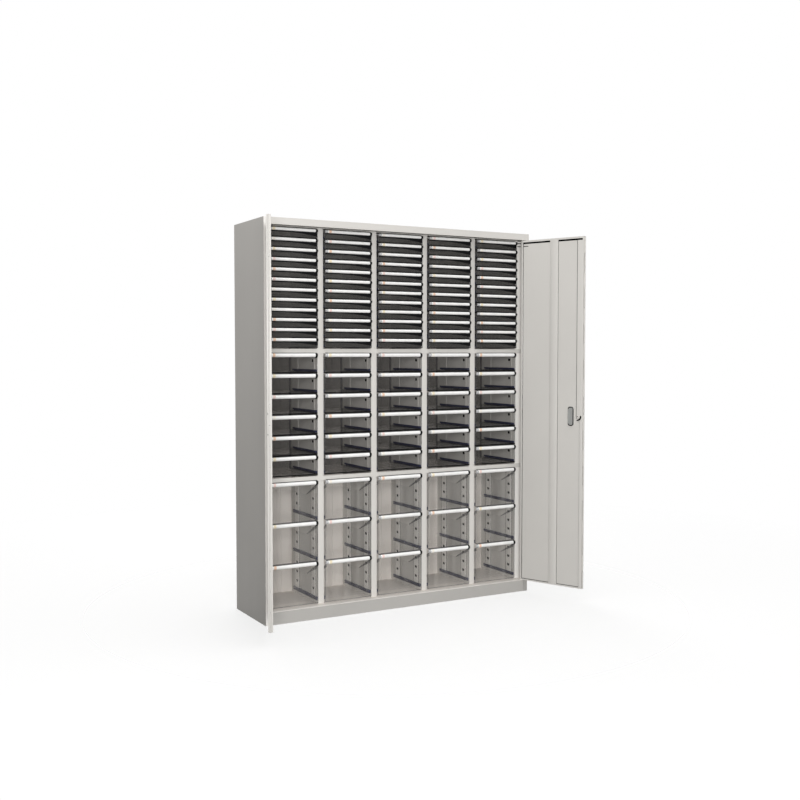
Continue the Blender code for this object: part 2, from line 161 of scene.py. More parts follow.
def add_room():
    world = bpy.data.worlds.new("pale_room")
    world.use_nodes = True
    tree = world.node_tree
    soft = tree.nodes["Background"]
    set_inputs(soft, Color=ROOM_TINT)
    way = add_node(tree, "TexCoord")
    split = add_node(tree, "SeparateXYZ")
    level = add_node(tree, "MapRange", From_Min=-ROOM_BLEND, From_Max=ROOM_BLEND,
                     To_Min=ROOM_BELOW, To_Max=ROOM_LEVEL)
    wire(tree, way, "Generated", split, "Vector")
    wire(tree, split, "Z", level, "Value")
    wire(tree, level, "Result", soft, "Strength")
    backdrop = add_node(tree, "Background", Color=WHITE)
    rays = add_node(tree, "LightPath")
    mix = add_node(tree, "MixShader")
    wire(tree, rays, "Is Camera Ray", mix, "Fac")
    wire(tree, soft, "Background", mix, 1)
    wire(tree, backdrop, "Background", mix, 2)
    wire(tree, mix, "Shader", tree.nodes["World Output"], "Surface")
    bpy.context.scene.world = world
    bpy.context.scene.view_settings.view_transform = "Standard"


add_room()
print("world:", bpy.context.scene.world.name)

# %% [markdown]
# ## Lights
# Three large square lights stand for a studio's soft boxes: one beside the camera, one
# overhead and one behind. They give soft shadows and leave the left side in half shade.

# %% Add the lights
SOFTBOXES = {  # place, target, size and power
    "front_softbox": ((-2.4, -4.9, 1.3), (0.0, 0.0, 0.9), 2.0, 170.0),
    "ceiling_softbox": ((0.3, -1.0, 5.5), (0.0, -0.5, 0.0), 5.0, 150.0),
    "rear_softbox": ((1.2, 5.0, 2.4), (0.0, 0.0, 0.9), 3.0, 120.0),
}


def add_light(name, place, target, size, power):
    data = bpy.data.lights.new(name, "AREA")
    data.shape = "SQUARE"
    data.size = size
    data.energy = power
    lamp = add_object(name, data)
    lamp.location = place
    aim = Vector(target) - Vector(place)
    lamp.rotation_euler = aim.to_track_quat("-Z", "Y").to_euler()


for name, setting in SOFTBOXES.items():
    add_light(name, *setting)

# %% [markdown]
# ## Floor
# The cabinet stands on a pale sheet that carries a faint shadow. A plain sheet would end in a
# horizon behind the cabinet, so this one fades out with the distance from its middle.

# %% Add the floor
FLOOR_SIZE = 3.6
FLOOR_DROP = 0.5 * MM
FLOOR_COVER = 0.32
FLOOR_FULL = 0.75


def new_material(name):
    material = bpy.data.materials.new(name)
    material.use_nodes = True
    return material, material.node_tree, material.node_tree.nodes["Principled BSDF"]


def floor_white():
    material, tree, shader = new_material("floor_white")
    set_inputs(shader, Base_Color=(0.95, 0.95, 0.95, 1.0), Roughness=0.9)
    place = add_node(tree, "TexCoord")
    scale = add_node(tree, "Mapping", Scale=(1 / FLOOR_SIZE,) * 3)
    fade = add_node(tree, "TexGradient")
    fade.gradient_type = "SPHERICAL"
    ramp = add_node(tree, "ValToRGB")
    rim, middle = ramp.color_ramp.elements
    rim.color = (0.0, 0.0, 0.0, 1.0)
    middle.color = (FLOOR_COVER, FLOOR_COVER, FLOOR_COVER, 1.0)
    middle.position = FLOOR_FULL
    wire(tree, place, "Object", scale, "Vector")
    wire(tree, scale, "Vector", fade, "Vector")
    wire(tree, fade, "Fac", ramp, "Fac")
    wire(tree, ramp, "Color", shader, "Alpha")
    return material


def add_floor():
    shape = bmesh.new()
    bmesh.ops.create_grid(shape, x_segments=2, y_segments=2, size=FLOOR_SIZE)
    mesh = bpy.data.meshes.new("pale_floor")
    shape.to_mesh(mesh)
    shape.free()
    mesh.materials.append(floor_white())
    floor = add_object("pale_floor", mesh)
    floor.location.z = -FLOOR_DROP
    return floor


floor_sheet = add_floor()
print("floor width:", round(floor_sheet.dimensions.x, 2))

# %% [markdown]
# ## Finishes
# No real surface has one flat colour. Noise in object space gives each finish some variation
# in colour and gloss, and needs no picture files. Values that are the same all over go
# straight on the shader.

# %% Helpers for the finishes
RAMP_ENDS = (0.3, 0.7)


def noise(tree, scale, detail=3.0, stretch=None):
    """A noise texture in object space, stretched along an axis if asked."""
    source = add_node(tree, "TexCoord").outputs["Object"]
    grain = add_node(tree, "TexNoise", Scale=scale, Detail=detail)
    if stretch:
        mapping = add_node(tree, "Mapping", Scale=stretch)
        tree.links.new(source, mapping.inputs["Vector"])
        source = mapping.outputs["Vector"]
    tree.links.new(source, grain.inputs["Vector"])
    return grain.outputs["Fac"]


def spread(tree, factor, low, high):
    """A colour ramp that turns noise into two close colours or greys."""
    ramp = add_node(tree, "ValToRGB")
    first, last = ramp.color_ramp.elements
    first.position, last.position = RAMP_ENDS
    first.color = (*low, 1.0)
    last.color = (*high, 1.0)
    tree.links.new(factor, ramp.inputs["Fac"])
    return ramp.outputs["Color"]


def shade(colour, factor):
    return tuple(min(1.0, c * factor) for c in colour)


def stain(tree, shader, factor, colour, dark, light):
    """Lets noise vary the colour between a darker and a lighter shade."""
    tint = spread(tree, factor, shade(colour, dark), shade(colour, light))
    tree.links.new(tint, shader.inputs["Base Color"])
    return tint


def scuff(tree, shader, factor, low, high):
    """Lets noise vary the roughness."""
    rough = spread(tree, factor, (low,) * 3, (high,) * 3)
    tree.links.new(rough, shader.inputs["Roughness"])


def add_bump(tree, shader, factor, strength, distance):
    bump = add_node(tree, "Bump", Strength=strength, Distance=distance)
    tree.links.new(factor, bump.inputs["Height"])
    wire(tree, bump, "Normal", shader, "Normal")


print("ramps run between:", RAMP_ENDS)

# %% [markdown]
# ## Paint
# Powder coat is sprayed on dry and melted, which leaves a fine orange-peel skin and a slightly
# cloudy gloss. A bump far too small to model gives the skin. The sides and doors are painted
# darker towards the floor: painted shade, in place of one more light. The cabinet has one grey;
# the other paints below are lighter or darker copies of it, which paint light and shade.

# %% Mix the paints
PAINT = (0.70, 0.68, 0.645)


def fade_up(tree, tint, low, high):
    """Multiplies a colour by a value that runs from the floor to the top, which paints shade low
    down.
    """
    place = add_node(tree, "TexCoord")
    split = add_node(tree, "SeparateXYZ")
    wire(tree, place, "Object", split, "Vector")
    level = add_node(tree, "MapRange", From_Max=TOP_Z, To_Min=low, To_Max=high)
    wire(tree, split, "Z", level, "Value")
    mix = add_node(tree, "VectorMath")
    mix.operation = "MULTIPLY"
    tree.links.new(tint, mix.inputs[0])
    wire(tree, level, "Result", mix, 1)
    return mix.outputs["Vector"]


def painted_steel(name, colour, gloss, fade=None):
    material, tree, shader = new_material(name)
    tint = stain(tree, shader, noise(tree, scale=2.2), colour, dark=0.965, light=1.02)
    if fade:
        tree.links.new(fade_up(tree, tint, *fade), shader.inputs["Base Color"])
    streaks = noise(tree, scale=14.0, detail=4.0, stretch=(1.0, 1.0, 0.12))
    scuff(tree, shader, streaks, low=gloss - 0.05, high=gloss + 0.06)
    set_inputs(shader, Specular_IOR_Level=0.4)
    peel = noise(tree, scale=900.0, detail=2.0)
    add_bump(tree, shader, peel, strength=0.05, distance=0.2 * MM)
    return material


body_paint = painted_steel("body_paint", PAINT, 0.42)
# Painted shade: the side panels get darker towards the floor.
side_paint = painted_steel("side_paint", PAINT, 0.42, fade=(0.56, 0.99))
# Painted highlight: a lighter copy for the left flange and the right post's face, where the doors
# shade them.
flange_paint = painted_steel("flange_paint", (0.93, 0.905, 0.87), 0.42)
# Painted shade: the doors are a touch darker than the body, and darker towards the floor.
door_paint = painted_steel("door_paint", shade(PAINT, 0.98), 0.4, fade=(0.88, 1.03))
# Painted shade: a darker copy for the kick plate, which sits back under the sill.
plinth_paint = painted_steel("plinth_paint", shade(PAINT, 0.66), 0.5)
# Painted light: a lighter copy for the back, bottom and cross member, so the depths of the columns
# look lit.
inner_paint = painted_steel("inner_paint", (0.80, 0.75, 0.70), 0.5)
# Painted shade: a darker copy for the walls inside the columns.
wall_paint = painted_steel("wall_paint", (0.57, 0.547, 0.513), 0.5)
# Painted highlight: a lighter copy for the tall punched strips and the trim strips.
strip_paint = painted_steel("strip_paint", (0.78, 0.75, 0.71), 0.45)
# Painted shade: near black, for the shade on the walls behind the medium trays.
deep_shade_paint = painted_steel("deep_shade_paint", (0.10, 0.097, 0.093), 0.55)
print("finishes with the paints:", len(bpy.data.materials))

# %% [markdown]
# ## Opaque plastics and bare steel
# Bars, caps, runners and the lock's cup are opaque mouldings with a faint grain, and the black
# bar ends are made the same way. Pins and hook are bare metal with marks along their length.
# The black of slots, hollows and gaps is painted shade, made as a plastic with no shine at all.

# %% Mix the opaque plastics and the steel
TAG_GLOSS = 0.4
TAG_COLOURS = {"orange": (0.86, 0.60, 0.44), "yellow": (0.88, 0.78, 0.56),
               "pink": (0.87, 0.68, 0.63), "cream": (0.88, 0.84, 0.76)}


def solid_plastic(name, colour, gloss, coat=0.0, shine=0.5):
    material, tree, shader = new_material(name)
    stain(tree, shader, noise(tree, scale=40.0), colour, dark=0.94, light=1.04)
    scuff(tree, shader, noise(tree, scale=220.0), low=gloss - 0.04, high=gloss + 0.06)
    set_inputs(shader, Specular_IOR_Level=shine, Coat_Weight=coat, Coat_Roughness=0.08)
    add_bump(tree, shader, noise(tree, scale=700.0), strength=0.04, distance=0.1 * MM)
    return material


def bare_steel(name, colour, gloss):
    material, tree, shader = new_material(name)
    marks = noise(tree, scale=300.0, detail=4.0, stretch=(1.0, 1.0, 0.02))
    stain(tree, shader, marks, colour, dark=0.8, light=1.15)
    scuff(tree, shader, marks, low=gloss - 0.06, high=gloss + 0.1)
    set_inputs(shader, Metallic=1.0)
    return material


bar_white = solid_plastic("bar_white", (0.93, 0.93, 0.915), 0.22, coat=0.6)
bar_lip = solid_plastic("bar_lip", (0.30, 0.30, 0.305), 0.3)
# Black for the pivot brackets and the lock cup's ends, and for the black pieces that paint shade.
black_parts_and_shade = solid_plastic("black_parts_and_shade", (0.006, 0.006, 0.007), 0.5, shine=0.12)
cap_grey = solid_plastic("cap_grey", (0.56, 0.56, 0.57), 0.3)
runner_black = solid_plastic("runner_black", (0.022, 0.025, 0.07), 0.4, shine=0.2)
lock_grey = solid_plastic("lock_grey", (0.34, 0.345, 0.335), 0.45)
# Painted shade: a black with no shine, behind slots and gaps; the two fold-leaf screws and the
# pivot line use it too.
dark_void = solid_plastic("dark_void", (0.004, 0.004, 0.004), 0.8, shine=0.0)
pin_steel = bare_steel("pin_steel", (0.42, 0.41, 0.40), 0.32)
hook_steel = bare_steel("hook_steel", (0.018, 0.018, 0.019), 0.45)
tags = [solid_plastic(f"tag_{name}", colour, TAG_GLOSS) for name, colour in TAG_COLOURS.items()]
print("finishes with the plastics:", len(bpy.data.materials))

# %% [markdown]
# ## Clear plastics
# The trays are clear, grey or smoked, with upright streaks and fine scratches. Glass with a
# real thickness would be slow to render through so many walls. A thin face with a low alpha
# looks the same from this far.

# %% Mix the clear plastics
def sheer_plastic(name, colour, alpha, gloss, streaks=0.1):
    material, tree, shader = new_material(name)
    haze = noise(tree, scale=38.0, detail=2.0, stretch=(1.0, 1.0, 0.04))
    stain(tree, shader, haze, colour, dark=1 - streaks, light=1 + streaks)
    scratches = noise(tree, scale=160.0, detail=5.0, stretch=(0.06, 1.0, 1.0))
    scuff(tree, shader, scratches, low=gloss, high=gloss + 0.14)
    set_inputs(shader, Alpha=alpha, IOR=1.49)
    return material


tray_plastic = {
    "thin": sheer_plastic("smoked_tray", (0.075, 0.072, 0.068), 0.66, 0.14),
    "medium": sheer_plastic("grey_tray", (0.15, 0.145, 0.138), 0.06, 0.12),
    "tall": sheer_plastic("clear_tray", (0.46, 0.45, 0.43), 0.11, 0.22, streaks=0.75),
}
tray_base = {
    "thin": tray_plastic["thin"],
    "medium": sheer_plastic("grey_tray_base", (0.075, 0.071, 0.068), 0.6, 0.2),
    "tall": sheer_plastic("clear_tray_base", (0.5, 0.49, 0.47), 0.06, 0.25),
}
tray_edge = sheer_plastic("tray_edge", (0.16, 0.16, 0.165), 0.38, 0.15)
print("all finishes:", len(bpy.data.materials))

# %% [markdown]
# ## Outlines
# Sheet metal and mouldings are mostly outlines swept along an axis, so one helper that sweeps
# an outline does nearly all the work. Each face keeps the number of its material slot.

# %% Helpers for outlines
def sweep(shape, outline, along, start, end, slot=0):
    """Adds a closed prism: an outline in the two other axes, swept along X, Y or Z."""
    place = {
        "X": lambda a, b, c: (c, a, b),
        "Y": lambda a, b, c: (a, c, b),
        "Z": lambda a, b, c: (a, b, c),
    }[along]
    first = [shape.verts.new(place(a, b, start)) for a, b in outline]
    last = [shape.verts.new(place(a, b, end)) for a, b in outline]
    count = len(outline)
    faces = [shape.faces.new(first), shape.faces.new(last[::-1])]
    for i in range(count):
        j = (i + 1) % count
        faces.append(shape.faces.new((first[j], first[i], last[i], last[j])))
    for face in faces:
        face.material_index = slot
    return faces


def box(shape, low, high, slot=0):
    (x0, y0, z0), (x1, y1, z1) = low, high
    return sweep(shape, [(x0, y0), (x1, y0), (x1, y1), (x0, y1)], "Z", z0, z1, slot)


def arc(centre, radius, start, end, steps):
    """Points along an arc, its angles in degrees."""
    points = []
    for i in range(steps + 1):
        turn = math.radians(start + (end - start) * i / steps)
        points.append((centre[0] + radius * math.cos(turn), centre[1] + radius * math.sin(turn)))
    return points


def circle(centre, radius, count):
    return arc(centre, radius, 0, 360 - 360 / count, count - 1)


def loft(shape, rings):
    """Joins rings of corners with faces. Gives each face with its ring's and its own number."""
    for k, (first, second) in enumerate(zip(rings, rings[1:])):
        for i in range(len(first)):
            j = (i + 1) % len(first)
            yield k, i, shape.faces.new((first[i], first[j], second[j], second[i]))


print("points on a circle:", len(circle((0, 0), 1, 12)))

# %% [markdown]
# ## From a mesh to a piece
# A finished piece needs smooth shading with sharp folds, its materials, the body it rides on,
# and the solids it stands in for. One helper does all of that in the same order each time.

# %% Helpers for pieces
SOFT_ANGLE = math.radians(35)


def round_edges(piece, width):
    bevel = piece.modifiers.new("soft_edges", "BEVEL")
    bevel.width = width
    bevel.segments = 2
    bevel.limit_method = "ANGLE"
    bevel.angle_limit = SOFT_ANGLE


def add_piece(name, shape, materials, body, replaced=(), bevel=0.0, place=None):
    bmesh.ops.recalc_face_normals(shape, faces=shape.faces)
    mesh = bpy.data.meshes.new(name)
    shape.to_mesh(mesh)
    shape.free()
    if place is not None:
        mesh.transform(place)
    for material in materials:
        mesh.materials.append(material)
    mesh.shade_smooth()
    mesh.set_sharp_from_angle(angle=SOFT_ANGLE)
    piece = add_object(name, mesh)
    if bevel:
        round_edges(piece, bevel)
    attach(piece, body)
    if replaced:
        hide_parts(*replaced)
    return piece


print("folds sharper than this stay sharp:", round(math.degrees(SOFT_ANGLE)))

# %% [markdown]
# ## Carcass sheets
# The side panels, roof, plinth, bottom and rails are plain folded sheets, and the hinge pins
# plain rods, so the solids are kept and only painted. A small bevel rounds the folds that
# show. The front flange of the left side gets a lighter paint, a painted highlight where the
# left door shades it. The plinth's darker paint is painted shade, and the bottom's lighter
# paint is painted light.

# %% Paint the carcass
SIDES = ["left_side_panel", "right_side_panel"]
RAILS = ["top_panel", "lower_cross_rail", "upper_cross_rail"]
INSIDE = ["bottom_panel", "base_cross_member"]
PINS = ["left_hinge_pin", "right_hinge_pin", "left_fold_pin", "right_fold_pin"]
FOLD_BEVEL = 0.5 * MM
FACES_FRONT = -0.5


def dress(names, material, bevel=0.0):
    for name in names:
        node = nodes[name]
        node.data.materials.clear()
        node.data.materials.append(material)
        if bevel:
            round_edges(node, bevel)


dress(SIDES, side_paint, FOLD_BEVEL)
# The left side's front-facing faces get the lighter flange paint, a painted highlight.
flank = nodes["left_side_panel"].data
flank.materials.append(flange_paint)
for face in flank.polygons:
    face.material_index = 1 if face.normal.y < FACES_FRONT else 0
dress(RAILS, body_paint, FOLD_BEVEL)
# The kick plate's darker paint is painted shade.
dress(["kick_plate"], plinth_paint, FOLD_BEVEL)
dress(INSIDE, inner_paint)
dress(PINS, pin_steel)
print("painted nodes:", len(SIDES + RAILS + INSIDE + PINS) + 1)

# %% [markdown]
# ## Back panel
# A large flat sheet would drum, so the back has a pair of shallow beads pressed into it behind
# each column. Its outline, with the beads, is swept up the whole height. A row of rivets along
# each upright edge holds it to the sides.

# %% Build the back panel
BEAD_PLACES = (-55 * MM, 55 * MM)
BEAD_HALF = 11 * MM
BEAD_FLAT = 8.7 * MM
BEAD_RISE = 2.4 * MM
RIVET_COUNT = 8
RIVET_INSET = 22 * MM
RIVET_RINGS = ((4.0 * MM, 0.0), (3.6 * MM, 0.7 * MM), (2.4 * MM, 1.3 * MM), (0.8 * MM, 1.5 * MM))
back_low, back_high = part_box("back_panel")


def back_line(y):
    """The sheet's plan at one face: straight, with its beads pushed out."""
    line = [(back_low.x, y)]
    for middle in column_x:
        for place in BEAD_PLACES:
            x = middle + place
            line += [(x - BEAD_HALF, y), (x - BEAD_FLAT, y + BEAD_RISE)]
            line += [(x + BEAD_FLAT, y + BEAD_RISE), (x + BEAD_HALF, y)]
    return line + [(back_high.x, y)]


def rivet(shape, x, y, z):
    rings = []
    for radius, rise in RIVET_RINGS:
        points = circle((x, z), radius, 12)
        rings.append([shape.verts.new((a, y + rise, b)) for a, b in points])
    for _, _, face in loft(shape, rings):
        face.material_index = 1
    shape.faces.new(rings[0][::-1]).material_index = 1
    shape.faces.new(rings[-1]).material_index = 1


def add_back():
    shape = bmesh.new()
    outer = back_line(back_high.y)
    outline = outer + back_line(back_low.y)[::-1]
    faces = sweep(shape, outline, "Z", back_low.z, back_high.z)
    # The outer face takes the body paint; the inside keeps the lighter inner paint, which is
    # painted light.
    for face in faces[2:1 + len(outer)]:
        face.material_index = 1
    for i in range(RIVET_COUNT):
        z = back_low.z + (i + 0.5) / RIVET_COUNT * (back_high.z - back_low.z)
        for x in (back_low.x + RIVET_INSET, back_high.x - RIVET_INSET):
            rivet(shape, x, back_high.y, z)
    return add_piece("back_panel_sheet", shape, [inner_paint, body_paint], "cabinet",
                     ["back_panel"])


back = add_back()
print("back panel faces:", len(back.data.polygons))

# %% [markdown]
# ## Punched strips
# The walls beside the tall and medium trays carry upright strips with punched slots, in which
# the runners hang. A boolean could cut the slots, but a strip swept in lengths, with two
# rounded fillers at every slot, is cleaner. A dark sheet behind paints the shade inside the
# hollow post.

# %% Helper for the punched strips
STRIP_WIDTH = 44 * MM
STRIP_THICK = 2.0 * MM
STRIP_BEVEL = 2.0 * MM
BACKING = 0.2 * MM
SHADOW_LINE = 3.0 * MM
SLOT_HALF = 11.0 * MM
SLOT_RADIUS = 6.5 * MM
WALL, DARK, FRONT, STRIP, DEEP_SHADE = range(5)


def punched_strip(shape, wall_x, into, y0, z0, z1, slots, paint):
    face = wall_x + into * STRIP_THICK
    y1 = y0 + STRIP_WIDTH
    flank = [(wall_x, y0), (wall_x, y1), (face, y1 - STRIP_BEVEL), (face, y0 + STRIP_BEVEL)]
    middle = (y0 + y1) / 2
    ends = [z0, *[z for slot in slots for z in (slot - SLOT_RADIUS, slot + SLOT_RADIUS)], z1]
    for low, high in zip(ends[::2], ends[1::2]):
        sweep(shape, flank, "Z", low, high, paint)
    x0, x1 = sorted((wall_x, wall_x + into * BACKING))
    # Painted shadow: dark lines beside each tall strip.
    if paint == STRIP:
        for y in (y0 - SHADOW_LINE, y1):
            box(shape, (x0, y, z0), (x1, y + SHADOW_LINE, z1), DARK)
    for slot in slots:
        for hand, edge in ((1, y1 - STRIP_BEVEL), (-1, y0 + STRIP_BEVEL)):
            centre = (middle + hand * (SLOT_HALF - SLOT_RADIUS), slot)
            rim = arc(centre, SLOT_RADIUS, -90 * hand, 180 - 90 * hand, 6)
            outline = rim + [(edge, slot + hand * SLOT_RADIUS), (edge, slot - hand * SLOT_RADIUS)]
            sweep(shape, outline, "X", wall_x, face, paint)
        # Painted shade: a dark sheet behind each slot.
        low = (x0, middle - SLOT_HALF, slot - SLOT_RADIUS)
        box(shape, low, (x1, middle + SLOT_HALF, slot + SLOT_RADIUS), DARK)


print("slot width:", 2 * SLOT_HALF)

# %% [markdown]
# ## Posts between the columns
# Each post is a folded channel: a front face with rounded corners and a skin down each side.
# Its plan is swept up in one go, and the strips are set on the skins. Beside the medium trays
# slots show only near the front, and a near-black strip at the back paints the shade past the
# trays.

# %% Build the posts
SKIN = 1.2 * MM
FOLD_RADIUS = 2.0 * MM
RUNNER_TOP = by_kind(17.5, 17.5, 13.6)
STRIP_STARTS = (FRAME_Y + 26 * MM, WALL_BACK_Y - 88 * MM)
STRIP_OVERRUN = 3 * MM
SLOT_PLACES = {"tall": (0.27, 0.51, 0.75), "medium": (0.62,)}
DEEP_SHADE_REACH = 10 * MM
DEEP_SHADE_Y = (WALL_BACK_Y - 1.2 * MM, WALL_BACK_Y - 0.2 * MM)


def post_outline(left, right, open_left, open_right):
    y = FRAME_Y
    back = WALL_BACK_Y
    inner_y = y + SKIN
    if open_left:
        start = [(left, inner_y), (left, y)]
        finish = []
    else:
        corner = arc((left + FOLD_RADIUS, y + FOLD_RADIUS), FOLD_RADIUS, 180, 270, 4)
        start = [(left + SKIN, back), (left, back), *corner]
        finish = [(left + SKIN, inner_y)]
    if open_right:
        turn = [(right, y), (right, inner_y)]
    else:
        corner = arc((right - FOLD_RADIUS, y + FOLD_RADIUS), FOLD_RADIUS, 270, 360, 4)
        turn = [*corner, (right, back), (right - SKIN, back), (right - SKIN, inner_y)]
    return start + turn + finish


def dress_wall(shape, wall_x, into):
    # Painted shade: a near-black strip on each wall behind the medium trays.
    x0, x1 = sorted((wall_x, wall_x + into * DEEP_SHADE_REACH))
    low = (x0, DEEP_SHADE_Y[0], bank_floor["medium"])
    box(shape, low, (x1, DEEP_SHADE_Y[1], bank_floor["thin"]), DEEP_SHADE)
    for kind, places in SLOT_PLACES.items():
        pitch = bank_pitch[kind]
        paint = STRIP if kind == "tall" else WALL
        for i in range(BANK_COUNTS[kind]):
            floor = bank_floor[kind] + i * pitch
            z0 = floor + RUNNER_TOP[kind]
            z1 = floor + pitch + STRIP_OVERRUN
            for y0 in STRIP_STARTS:
                punched = kind == "tall" or y0 == STRIP_STARTS[0]
                slots = [floor + share * pitch for share in places] if punched else []
                punched_strip(shape, wall_x, into, y0, z0, z1, slots, paint)


def add_post(name, left, right, open_left=False, open_right=False, face_paint=body_paint):
    shape = bmesh.new()
    for face in sweep(shape, post_outline(left, right, open_left, open_right), "Z", FOOT_Z, HEAD_Z):
        if face.calc_center_median().y < FRAME_Y + FOLD_RADIUS:
            face.material_index = FRONT
    if not open_left:
        dress_wall(shape, left, -1)
    if not open_right:
        dress_wall(shape, right, 1)
    # Walls take the darker wall paint, tall strips the lighter strip paint and the last paint is
    # near black: painted shade, painted highlight and painted shade.
    finish = [wall_paint, dark_void, face_paint, strip_paint, deep_shade_paint]
    return add_piece(f"{name}_sheet", shape, finish, "cabinet", [name])


for i in range(1, COLUMNS):
    add_post(f"divider_{i}", column_x[i - 1] + COLUMN_HALF, column_x[i] - COLUMN_HALF)
liner_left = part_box("left_runner_liner")[0].x
add_post("left_runner_liner", liner_left, column_x[0] - COLUMN_HALF, open_left=True)
liner_inner = column_x[-1] + COLUMN_HALF
# The right post's face takes the lighter flange paint, a painted highlight.
add_post("right_runner_liner", liner_inner, post_high.x, open_right=True, face_paint=flange_paint)
print("posts:", COLUMNS + 1)

# %% [markdown]
# ## Trim of the opening
# Under the fascia run a light strip and a black strip, and a light strip covers the edge of the
# sill. The black strip is painted shade in the gap under the fascia; the light strips have the
# lighter strip paint, a painted highlight. Dark slots at the upper corners are the brackets of
# the door pivots. All of it is thin and fixed, so it is swept from small outlines.

# %% Trim the opening at its top and bottom
HEAD_STRIP = (-0.5 * MM, 3.5 * MM)
HEAD_SHADE_LINE = (3.5 * MM, 8.0 * MM)
HEAD_DEPTH = 1.2 * MM
HEAD_SHADE_DEPTH = 1.8 * MM
SILL_DEPTH = 20 * MM
SILL_RISE = 2.5 * MM
PIVOT_DEPTH = 2.0 * MM
PIVOT_SLOT = (11 * MM, 31 * MM)
PIVOT_LEVELS = ((-0.3 * MM, 3.3 * MM), (-13.2 * MM, -9.6 * MM), (-28.0 * MM, -24.6 * MM))
fascia_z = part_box("top_panel")[0].z
kick_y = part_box("kick_plate")[0].y
trim_y = FRAME_Y - 0.2 * MM


def add_strip(name, material, y0, y1, z0, z1):
    shape = bmesh.new()
    radius = min((y1 - y0) * 0.9, (z1 - z0) / 2)
    edge = [(y1, z0), *arc((y0 + radius, z0 + radius), radius, 270, 180, 4),
            *arc((y0 + radius, z1 - radius), radius, 180, 90, 4), (y1, z1)]
    sweep(shape, edge, "X", liner_left, -liner_left)
    return add_piece(name, shape, [material], "cabinet")


def add_pivots():
    shape = bmesh.new()
    for side in (-1, 1):
        x0, x1 = sorted(side * (liner_inner + reach) for reach in PIVOT_SLOT)
        for z0, z1 in PIVOT_LEVELS:
            box(shape, (x0, trim_y - PIVOT_DEPTH, fascia_z + z0), (x1, trim_y, fascia_z + z1))
    add_piece("pivot_brackets", shape, [black_parts_and_shade], "cabinet")


z0, z1 = (fascia_z + z for z in HEAD_STRIP)
# The strip under the fascia and the sill strip have the lighter strip paint, a painted highlight.
add_strip("head_strip", strip_paint, trim_y - HEAD_DEPTH, trim_y, z0, z1)
# Painted shade: a black strip for the shade in the gap under the fascia.
z0, z1 = (fascia_z + z for z in HEAD_SHADE_LINE)
add_strip("head_shade_line", black_parts_and_shade, trim_y - HEAD_SHADE_DEPTH, trim_y, z0, z1)
sill_top = SILL_Z + SILL_RISE
sill = add_strip("sill_strip", strip_paint, kick_y, kick_y + SILL_DEPTH, SILL_Z, sill_top)
add_pivots()
print("sill width:", round(sill.dimensions.x, 4))

# %% [markdown]
# ## Runners
# A tray hangs by the thin flange along each side. The flange slides in a dark plastic channel
# on the wall: a lower lip carries it and an upper lip keeps the tray from tipping when it is
# pulled out. The channel is one outline swept from the front to the back.

# %% Build the runners
RUNNER_FRONT_Y = FRAME_Y + 3 * MM
RUNNER_BACK_Y = WALL_BACK_Y - 34 * MM
LIP_REACH = 7.6 * MM
RUNNER_LEVELS = (3.6 * MM, 6.4 * MM, 9.6 * MM)
RUNNER_WEB = 0.7 * MM


def runner_outline(wall, into, floor, top):
    low, slot_low, slot_high = (floor + level for level in RUNNER_LEVELS)
    high = floor + top
    web = wall + into * RUNNER_WEB
    tip = wall + into * LIP_REACH
    return [(wall, low), (tip, low), (tip, slot_low), (web, slot_low),
            (web, slot_high), (tip, slot_high), (tip, high), (wall, high)]


def add_runners():
    shape = bmesh.new()
    for middle in column_x:
        for kind, count in BANK_COUNTS.items():
            for i in range(count):
                floor = bank_floor[kind] + i * bank_pitch[kind]
                for into in (1, -1):
                    wall = middle - into * COLUMN_HALF
                    outline = runner_outline(wall, into, floor, RUNNER_TOP[kind])
                    sweep(shape, outline, "Y", RUNNER_FRONT_Y, RUNNER_BACK_Y)
    return add_piece("tray_runners", shape, [runner_black], "cabinet")


runners = add_runners()
print("runner faces:", len(runners.data.polygons))

# %% [markdown]
# ## Shell of a tray
# A tray is a moulded box: a ribbed floor with a flange along each side, two walls, a back and a
# front. The walls slope up to the bar. A thin tray has a black piece under its bar that paints
# the bar's shadow, thin and medium ones a dark strip along the foot that paints the shade in the
# gap above the bar below, and the lowest tall trays reach down to the sill.
# Walls are single faces, which is how thin clear plastic looks best.

# %% Helpers for the shell of a tray
WALL_INSET = 8.0 * MM
TRAY_RIDE = 6.9 * MM
RIB_PLACES = (-0.5, 0.0, 0.5)
RIB_SHAPE = ((-5 * MM, 0.0), (-4 * MM, 0.8 * MM), (4 * MM, 0.8 * MM), (5 * MM, 0.0))
SIDE_HEIGHT = by_kind(100, 65, 26)
SIDE_SLOPE = by_kind(112, 50, 12)
SLOPE_LAP = 2 * MM
EDGE_BAND = by_kind(16, 7, 3)
EDGE_HALF = 0.9 * MM
BAR_HEIGHT = by_kind(18, 17.5, 13.8)
FRONT_EDGE = 2.4 * MM
EDGE_DEPTH = (-0.2 * MM, 1.8 * MM)
SKIRT_CLEAR = 1.5 * MM
BAR_SHADOW_LEFT = 4.5 * MM
BAR_SHADOW_DIP = 14 * MM
BAR_SHADOW_BEND = 0.35
BAR_SHADOW_DEPTH = (-1.2 * MM, -0.3 * MM)
# The fourth slot is black that paints shade: the bar's ends, the strip along its top, the piece
# under a thin bar and the foot strip.
SHELL, BASE, BAR, SHADE_BLACK, CAP, EDGE, LIP, TAG = range(8)


def sheet(shape, corners, slot):
    shape.faces.new([shape.verts.new(c) for c in corners]).material_index = slot


def upright(x0, x1, y, z0, z1):
    """Corners of an upright face across a column."""
    return [(x0, y, z0), (x1, y, z0), (x1, y, z1), (x0, y, z1)]


